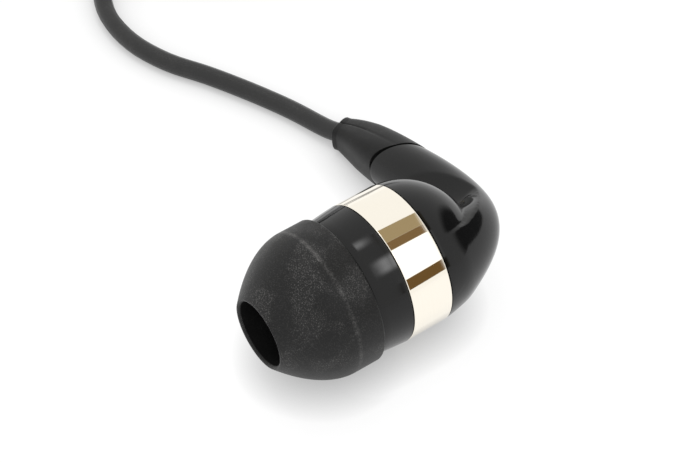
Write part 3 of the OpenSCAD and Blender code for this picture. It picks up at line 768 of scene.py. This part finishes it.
chamber = [(CHAMBER_R * math.cos(a), BAND_WIDTH + CHAMBER_DEPTH * math.sin(a))
           for a in np.radians(np.arange(0, 90, 6))]
front_tool = new_object("front_tool", *turned(
    [(0, -TOOL_REACH), (TOOL_REACH, -TOOL_REACH), (TOOL_REACH, TOOL_BACK), (TOOL_RIM_R, SHELL_FRONT),
     (CHAMBER_R, SHELL_FRONT), *chamber, (0, BAND_WIDTH + CHAMBER_DEPTH)], Matrix.Identity(4), 96))
smooth_skin(front_tool)
carved(shell, front_tool)
carved(shell, past_seam(0))
carved(shell, cable_bore())
work = bmesh.new()
work.from_mesh(shell.data)
spigot = turned([(CHAMBER_R, RING_INSIDE_BAND), (SPIGOT_R, RING_INSIDE_BAND), (SPIGOT_R, SHELL_FRONT),
                 (CHAMBER_R, SHELL_FRONT)], Matrix.Identity(4))
spots = [work.verts.new(p) for p in spigot[0]]
for face in spigot[1]:
    work.faces.new([spots[i] for i in face])
work.transform(Matrix.Scale(MM, 4) @ EAR)
work.to_mesh(shell.data)
work.free()
declare(shell, black, ["rear_shell"], sharp=32)
print("shell:", len(shell.data.polygons), "faces after the cuts")

# %% [markdown]
# ## Rubber sleeve
#
# The sleeve keeps the cable from kinking where it leaves the arm. It continues the arm's taper, its section is a
# little square, and a fine groove runs along its top and bottom. A sweep with one section for each point of its line
# does all that, and a block and a bore like those before cut the joint and the hole.

# %% Rubber sleeve
SEAT_FROM, SEAT_TO = 0.58, 0.7
SQUARENESS = 1.6
GROOVE_DEPTH = 0.06
GROOVE_WIDTH = 0.05
REAR_SLIMMING = 0.09
END_ROUND = 0.12
SEAM_GAP = 0.2
SEAM_LEAN = math.radians(-2.5)

seat_steps = spread(SEAT_FROM, SEAT_TO, 12)
relief_steps = spread(0, 1, 40)
join_r = bezier(ARM_RADII, JOIN)
relief_line = [bezier(ARM_CURVE, t) for t in seat_steps]
relief_line += [bezier(RELIEF_CURVE, t) for t in relief_steps]
relief_line += [ARM_END - END_ROUND * exit_in_ear, ARM_END - 0.3 * END_ROUND * exit_in_ear, ARM_END]
relief_radii = [bezier(ARM_RADII, t) for t in seat_steps]
relief_radii += [join_r - (join_r - RELIEF_END_R) * t ** 1.5 for t in relief_steps]
relief_radii += [RELIEF_END_R, RELIEF_END_R - 0.04, RELIEF_END_R - END_ROUND]
relief_square = [0.0] * len(seat_steps) + [min(1, 1.6 * t) for t in relief_steps] + [1, 1, 1]
relief_slim = [0.0] * len(seat_steps) + [math.sin(math.pi * t) for t in relief_steps] + [0, 0, 0]


def sleeve_section(i, sides=96):
    """A round section that turns a little square towards the sleeve's end, with a groove at top and bottom."""
    square = relief_square[i]
    power = 2 + SQUARENESS * square
    out = []
    for k in range(sides):
        angle = math.tau * k / sides
        c, s = math.cos(angle), math.sin(angle)
        reach = relief_radii[i] / (abs(c) ** power + abs(s) ** power) ** (1 / power)
        reach -= GROOVE_DEPTH * square * math.exp(-(c / GROOVE_WIDTH) ** 2)
        slim = REAR_SLIMMING * relief_slim[i] * max(0, c)
        out.append((reach * c * (1 + 0.06 * square - slim), reach * s * (1 - 0.02 * square)))
    return out


sleeve = new_object("sleeve_skin", *swept(relief_line, sleeve_section))
smooth_skin(sleeve)
carved(sleeve, past_seam(SEAM_GAP, -1, SEAM_LEAN))
carved(sleeve, cable_bore())
sleeve.data.transform(Matrix.Scale(MM, 4) @ EAR)
declare(sleeve, sleeve_skin, ["strain_relief"], sharp=42)
print("sleeve:", len(sleeve.data.polygons), "faces")

# %% [markdown]
# ## Plug
#
# The plug has a moulded boot with ribs, a grip, and three gold contacts parted by black rings. Each is a turned
# profile about the plug's axis, with the same stations as the solid it stands for.

# %% Plug
PLUG = Matrix.Translation(PLUG_AT) @ Matrix.Rotation(math.pi, 4, "Z")
BOOT_LENGTH = 7
GRIP_LENGTH = 15
GRIP_R = 3.2
GRIP_LINE = 0.12
GRIP_BORE_R = 2.35
WIRES_R = 1.6
GRIP_FRONT = BOOT_LENGTH + GRIP_LENGTH
SHOULDER_BACK = GRIP_FRONT - 3
SLEEVE_FRONT = GRIP_FRONT + 7.3
RING_BACK = SLEEVE_FRONT + 0.5
RING_FRONT = RING_BACK + 2.2
TIP_BACK = RING_FRONT + 0.5
TIP_END = TIP_BACK + 3.5
CABLE_END = BOOT_LENGTH + GRIP_LENGTH - 6.1
CONTACT_R = 1.75
SLEEVE_BORE_R = 1.22
RING_BORE_R = 0.77
TIP_STEM_R = 0.45
BOOT_FRONT = 6.95
BOOT_R = 1.45
BOOT_FLARE = 1.15
RIBS = 4
RIB_PITCH = 1.35
RIB_DEPTH = 0.35


def boot_r(station):
    """The boot's radius without its ribs."""
    return BOOT_R + BOOT_FLARE * station / BOOT_LENGTH


grooves = []
for rib in range(RIBS):
    at = 1.2 + RIB_PITCH * rib
    grooves += [(boot_r(at), at, 0.08), (boot_r(at) - RIB_DEPTH, at + 0.1, 0.08),
                (boot_r(at) - RIB_DEPTH, at + 0.6, 0.08), (boot_r(at + 0.7), at + 0.7, 0.08)]
hard_plastic = rubber("hard_plastic", 0.018, 0.05, 0.32, 0.08, 0.004)
plug_gold = polished_metal("plug_gold", (0.95, 0.78, 0.45), 0.08)

boot = turned_piece("boot_skin", rounded([(CABLE_BORE_R, 3), (CABLE_BORE_R, 0), (boot_r(0), 0, 0.15), *grooves,
                                          (boot_r(BOOT_FRONT), BOOT_FRONT, 0.1), (CABLE_BORE_R, BOOT_FRONT),
                                          (CABLE_BORE_R, 3.1)]),
                    PLUG, sleeve_skin, ["plug_boot"])
grip = turned_piece("grip_skin", rounded([
    (CABLE_BORE_R, 12), (CABLE_BORE_R, BOOT_LENGTH), (GRIP_R, BOOT_LENGTH, 0.6), (GRIP_R, BOOT_LENGTH + 2.2, 0.1),
    (GRIP_R - GRIP_LINE, BOOT_LENGTH + 2.3, 0.1), (GRIP_R - GRIP_LINE, BOOT_LENGTH + 2.6, 0.1),
    (GRIP_R, BOOT_LENGTH + 2.7, 0.1), (GRIP_R, GRIP_FRONT, 0.6), (GRIP_BORE_R, GRIP_FRONT),
    (GRIP_BORE_R, SHOULDER_BACK - 0.05), (WIRES_R, SHOULDER_BACK - 0.05), (WIRES_R, CABLE_END),
    (CABLE_BORE_R, CABLE_END)]),
    PLUG, hard_plastic, ["plug_grip"])
contact_sleeve = turned_piece("contact_sleeve_skin", rounded([
    (SLEEVE_BORE_R, 24), (SLEEVE_BORE_R, SHOULDER_BACK), (2.3, SHOULDER_BACK), (2.3, GRIP_FRONT, 0.1),
    (CONTACT_R, GRIP_FRONT), (CONTACT_R, SLEEVE_FRONT, 0.12), (SLEEVE_BORE_R, SLEEVE_FRONT), (SLEEVE_BORE_R, 24.1)]),
    PLUG, plug_gold, ["plug_sleeve"])
contact_ring = turned_piece("contact_ring_skin", rounded([
    (RING_BORE_R, 26), (RING_BORE_R, SHOULDER_BACK - 0.8), (1, SHOULDER_BACK - 0.8), (1, RING_BACK),
    (CONTACT_R, RING_BACK, 0.1), (CONTACT_R, RING_FRONT, 0.1), (RING_BORE_R, RING_FRONT), (RING_BORE_R, 26.1)]),
    PLUG, plug_gold, ["plug_ring"])
contact_tip = turned_piece("contact_tip_skin", rounded([
    (0, SHOULDER_BACK - 1.6), (TIP_STEM_R, SHOULDER_BACK - 1.6), (TIP_STEM_R, TIP_BACK), (1.2, TIP_BACK, 0.1),
    (1.2, TIP_BACK + 0.4, 0.15), (1.65, TIP_BACK + 1.1, 0.2), (1.65, TIP_BACK + 1.6, 0.4), (0.55, TIP_END - 0.3, 0.3),
    (0, TIP_END)]),
    PLUG, plug_gold, ["plug_tip"])
print("plug:", round(TIP_END - GRIP_FRONT, 2), "mm from its grip to the end of its tip")

# %% [markdown]
# ## Strap round the coil
#
# A stored cable is held by a strap. It goes down through the middle of the coil, under the turns, up outside and
# back over the top. A band swept round a rounded rectangle gives it soft corners.

# %% Strap
TIE_TURN = math.radians(60)
TIE_WIDTH = 3
TIE_THICK = 0.4
TIE_GAP = 0.15
TIE_EDGE = 0.08
TIE_CORNER, TIE_OUTER_CORNER = 0.25, 0.55
TIE_INNER = math.sqrt((COIL_INNER - CLIMB_DIP - LIE) ** 2 - (TIE_WIDTH / 2) ** 2) - TIE_GAP
TIE_OUTER = COIL_OUTER + CLIMB_DIP + LIE + TIE_GAP
TIE_HEIGHT = COIL_TOP + LIE + 0.05


def strap():
    """A closed loop with a rounded outside, in the coil's own upright plane."""
    place = Matrix.Translation((*COIL_AT, 0)) @ Matrix.Rotation(TIE_TURN, 4, "Z")
    loops = []
    for grow, turn in ((0, TIE_CORNER), (TIE_THICK, TIE_OUTER_CORNER)):
        low_x, high_x = TIE_INNER - grow, TIE_OUTER + grow
        low_z, high_z = TIE_THICK - grow, TIE_HEIGHT + grow
        ring = []
        for x, z, start in ((low_x, low_z, 180), (high_x, low_z, 270), (high_x, high_z, 0), (low_x, high_z, 90)):
            centre_x = x + (turn if x == low_x else -turn)
            centre_z = z + (turn if z == low_z else -turn)
            for k in range(9):
                a = math.radians(start + 90 * k / 8)
                ring.append((centre_x + turn * math.cos(a), centre_z + turn * math.sin(a)))
        loops.append(ring)
    count = len(loops[0])
    rows = [(0, -TIE_WIDTH / 2), (1, -TIE_WIDTH / 2 + TIE_EDGE), (1, TIE_WIDTH / 2 - TIE_EDGE), (0, TIE_WIDTH / 2)]
    points = [place @ Vector((x, y, z)) for which, y in rows for x, z in loops[which]]
    faces = [(row * count + k, row * count + (k + 1) % count, (row + 1) % 4 * count + (k + 1) % count,
              (row + 1) % 4 * count + k) for row in range(4) for k in range(count)]
    return points, faces


tie = declare(new_object("strap_skin", *strap(), MM), sleeve_skin, ["coil_tie"])
print("strap:", round(TIE_HEIGHT, 2), "mm high over", LAYERS, "layers")

# %% [markdown]
# ## Finishes of the parts inside
#
# The driver, the screen and the wires show only when the earphone is taken apart, but each still gets the finish of
# its own stuff, so that a cut-away or a close look holds up.

# %% Finishes of the other solids
def satin(name, colour, rough, metallic=0.0, grain_mm=0.15, grain_depth_mm=0.003):
    finish = Finish(name)
    patches = finish.noise(0.8, 3)
    tint = finish.blend(patches, (*(0.85 * c for c in colour), 1), (*colour, 1))
    return finish.surface(Base_Color=tint, Metallic=metallic, Roughness=patches * 0.12 + rough,
                          Normal=finish.bump(finish.noise(grain_mm, 3), grain_depth_mm))


steel = satin("driver_steel", (0.62, 0.62, 0.64), 0.3, 1.0)
mesh_steel = satin("screen_steel", (0.45, 0.45, 0.46), 0.35, 1.0, 0.05)
alloy = satin("magnet_alloy", (0.55, 0.55, 0.57), 0.25, 1.0)
film = satin("film", (0.72, 0.58, 0.3), 0.25, 0.0, 0.1, 0.001)
paper = satin("paper", (0.8, 0.78, 0.7), 0.85, 0.0, 0.06, 0.01)
copper = satin("copper", (0.85, 0.45, 0.25), 0.28, 1.0, 0.05, 0.001)
board = satin("board", (0.05, 0.22, 0.1), 0.4, 0.0, 0.1)
solder = satin("solder", (0.75, 0.75, 0.77), 0.22, 1.0, 0.2)
crimp = satin("crimp", (0.75, 0.68, 0.5), 0.3, 1.0)
INSIDE = {
    "nozzle_screen": mesh_steel, "nozzle_damper": paper, "driver_grille": steel, "driver_frame": hard_plastic,
    "diaphragm": film, "voice_coil": copper, "pole_plate": steel, "magnet": alloy, "yoke": steel,
    "tuning_paper": paper, "driver_gasket": sleeve_skin, "terminal_board": board, "solder_joints": solder,
    "lead_wires": copper, "cable_stop": crimp, "inner_cable": cable_skin, "plug_lead": cable_skin,
    "plug_wires": copper, "outer_insulator": hard_plastic, "inner_insulator": hard_plastic,
}
for name, finish in INSIDE.items():
    nodes[name].data.materials.clear()
    nodes[name].data.materials.append(finish)
print(len(INSIDE), "inside parts finished")

# %% [markdown]
# ## Table
#
# The earphone lies on a white sweep. For the camera and for mirrors the table is mostly plain white that darkens
# where something stands close over it, and the rest is lit like any surface. Both leave a soft, close shadow.

# %% Table
SHADOW_REACH = 3.3
SHADOW_GREY = grey(0.34)
OPEN_WHITE = grey(1.04)
PLAIN_SHARE = 0.85
TABLE_SIZE = 3000


def white_table():
    finish = Finish("white_table")
    seen = finish.node("LightPath", output="Is Camera Ray")
    mirrored = finish.node("LightPath", output="Is Glossy Ray")
    lit = finish.node("BsdfDiffuse", None, {"Color": (0.94, 0.94, 0.94, 1)})
    open_sky = finish.node("AmbientOcclusion", {"samples": 16}, {"Distance": SHADOW_REACH * MM}, 1)
    shade = finish.blend(open_sky, SHADOW_GREY, OPEN_WHITE)
    plain = finish.node("BsdfPrincipled", None, {"Base Color": grey(0.0), "Specular IOR Level": 0.0,
                                                 "Emission Color": shade, "Emission Strength": 1.0})
    finish.show(finish.node("MixShader", None, {0: (seen + mirrored) * PLAIN_SHARE, 1: lit, 2: plain}))
    return finish.owner


half = TABLE_SIZE / 2
table = new_object("table", [(-half, -half, 0), (half, -half, 0), (half, half, 0), (-half, half, 0)],
                   [(0, 1, 2, 3)], MM)
table.data.materials.append(white_table())
print("table:", TABLE_SIZE, "mm square")

# %% [markdown]
# ## Light
#
# A white tent gives the soft light, and the gaps between its panels are what draws the brown lines along the
# polished band. The tent is the world: white all round, with brown gaps at set angles round the sound axis, a brighter
# panel between two of them, two bright windows, and a dark doorway behind. Mirrors see all of that. Matt surfaces get
# plain white light instead, and one large lamp overhead adds a little direction. The cable and its strap are left out
# of reflections, because in the band they would only look like scratches.
#
# A gap is two angles and its brown. A window is the middle and half the width of an angle, the same along the axis,
# and a strength.

# %% Light
GAPS = [(70.7, 84, (0.205, 0.13, 0.058)), (84, 106.7, (0.37, 0.29, 0.165)), (5.5, 22.7, (0.145, 0.083, 0.028))]
PANEL = (23.5, 70, 1.4)
BESIDE = (0.26, 0.49)
WINDOWS = [(102, 5, 0.16, 0.03, 8), (57, 10, 0.22, 0.03, 10)]
DOORWAY = Vector((0.2, 0.95, 0.12))
DOORWAY_REACH = math.radians(28)
DOORWAY_GREY = grey(0.08)
TENT_WHITE = (1, 1, 0.99, 1)
MATT_LIGHT = 0.85
LAMP_AT = Vector((-150, 60, 420))
LAMP_SIZE = 260
LAMP_WATTS = 0.9


def tent():
    world = bpy.data.worlds.new("tent")
    bpy.context.scene.world = world
    finish = Finish("tent", world)
    ray = finish.node("TexCoord", output="Generated")
    sideways, rearward, upward = finish.parts(ray)
    height = finish.node("Math", {"operation": "ARCTAN2"}, {0: upward, 1: sideways})
    beside = rearward.between(*BESIDE, 0.015)
    colour = TENT_WHITE
    for low, high, brown in GAPS:
        inside = height.between(math.radians(low), math.radians(high), 0.006)
        colour = finish.blend(inside * beside, colour, (*brown, 1))
    lined_up = finish.node("VectorMath", {"operation": "DOT_PRODUCT"}, {0: ray, 1: DOORWAY.normalized()}, 1)
    colour = finish.blend(lined_up.above(math.cos(DOORWAY_REACH), 0.05), colour, DOORWAY_GREY)
    for middle, width, back, thick, strength in WINDOWS:
        across = height.between(math.radians(middle - width), math.radians(middle + width), 0.09)
        along = rearward.between(back - thick, back + thick, 0.06)
        colour = finish.blend(across * along, colour, grey(strength))
    low, high, strength = PANEL
    panel = height.between(math.radians(low), math.radians(high), 0.02)
    colour = finish.blend(panel * beside, colour, grey(strength))
    matt = finish.node("Background", None, {"Color": (1, 1, 1, 1), "Strength": MATT_LIGHT})
    mirrored = finish.node("Background", None, {"Color": colour, "Strength": 1.0})
    seen = finish.node("Background", None, {"Color": (1, 1, 1, 1), "Strength": 1.0})
    glossy = finish.node("LightPath", output="Is Glossy Ray")
    direct = finish.node("LightPath", output="Is Camera Ray")
    both = finish.node("MixShader", None, {0: glossy, 1: matt, 2: mirrored})
    finish.show(finish.node("MixShader", None, {0: direct, 1: both, 2: seen}))


tent()
lamp = bpy.data.objects.new("overhead", bpy.data.lights.new("overhead", "AREA"))
lamp.data.shape = "DISK"
lamp.data.size = LAMP_SIZE * MM
lamp.data.energy = LAMP_WATTS
lamp.location = LAMP_AT * MM
lamp.rotation_euler = (-LAMP_AT).to_track_quat("-Z", "Y").to_euler()
lamp.visible_glossy = False
bpy.context.scene.collection.objects.link(lamp)
for piece in (cable, tie):
    piece.visible_glossy = False
bpy.context.scene.view_settings.view_transform = "Standard"
print("tent:", len(GAPS), "gaps and", len(WINDOWS), "windows; lamp:", LAMP_WATTS, "W")
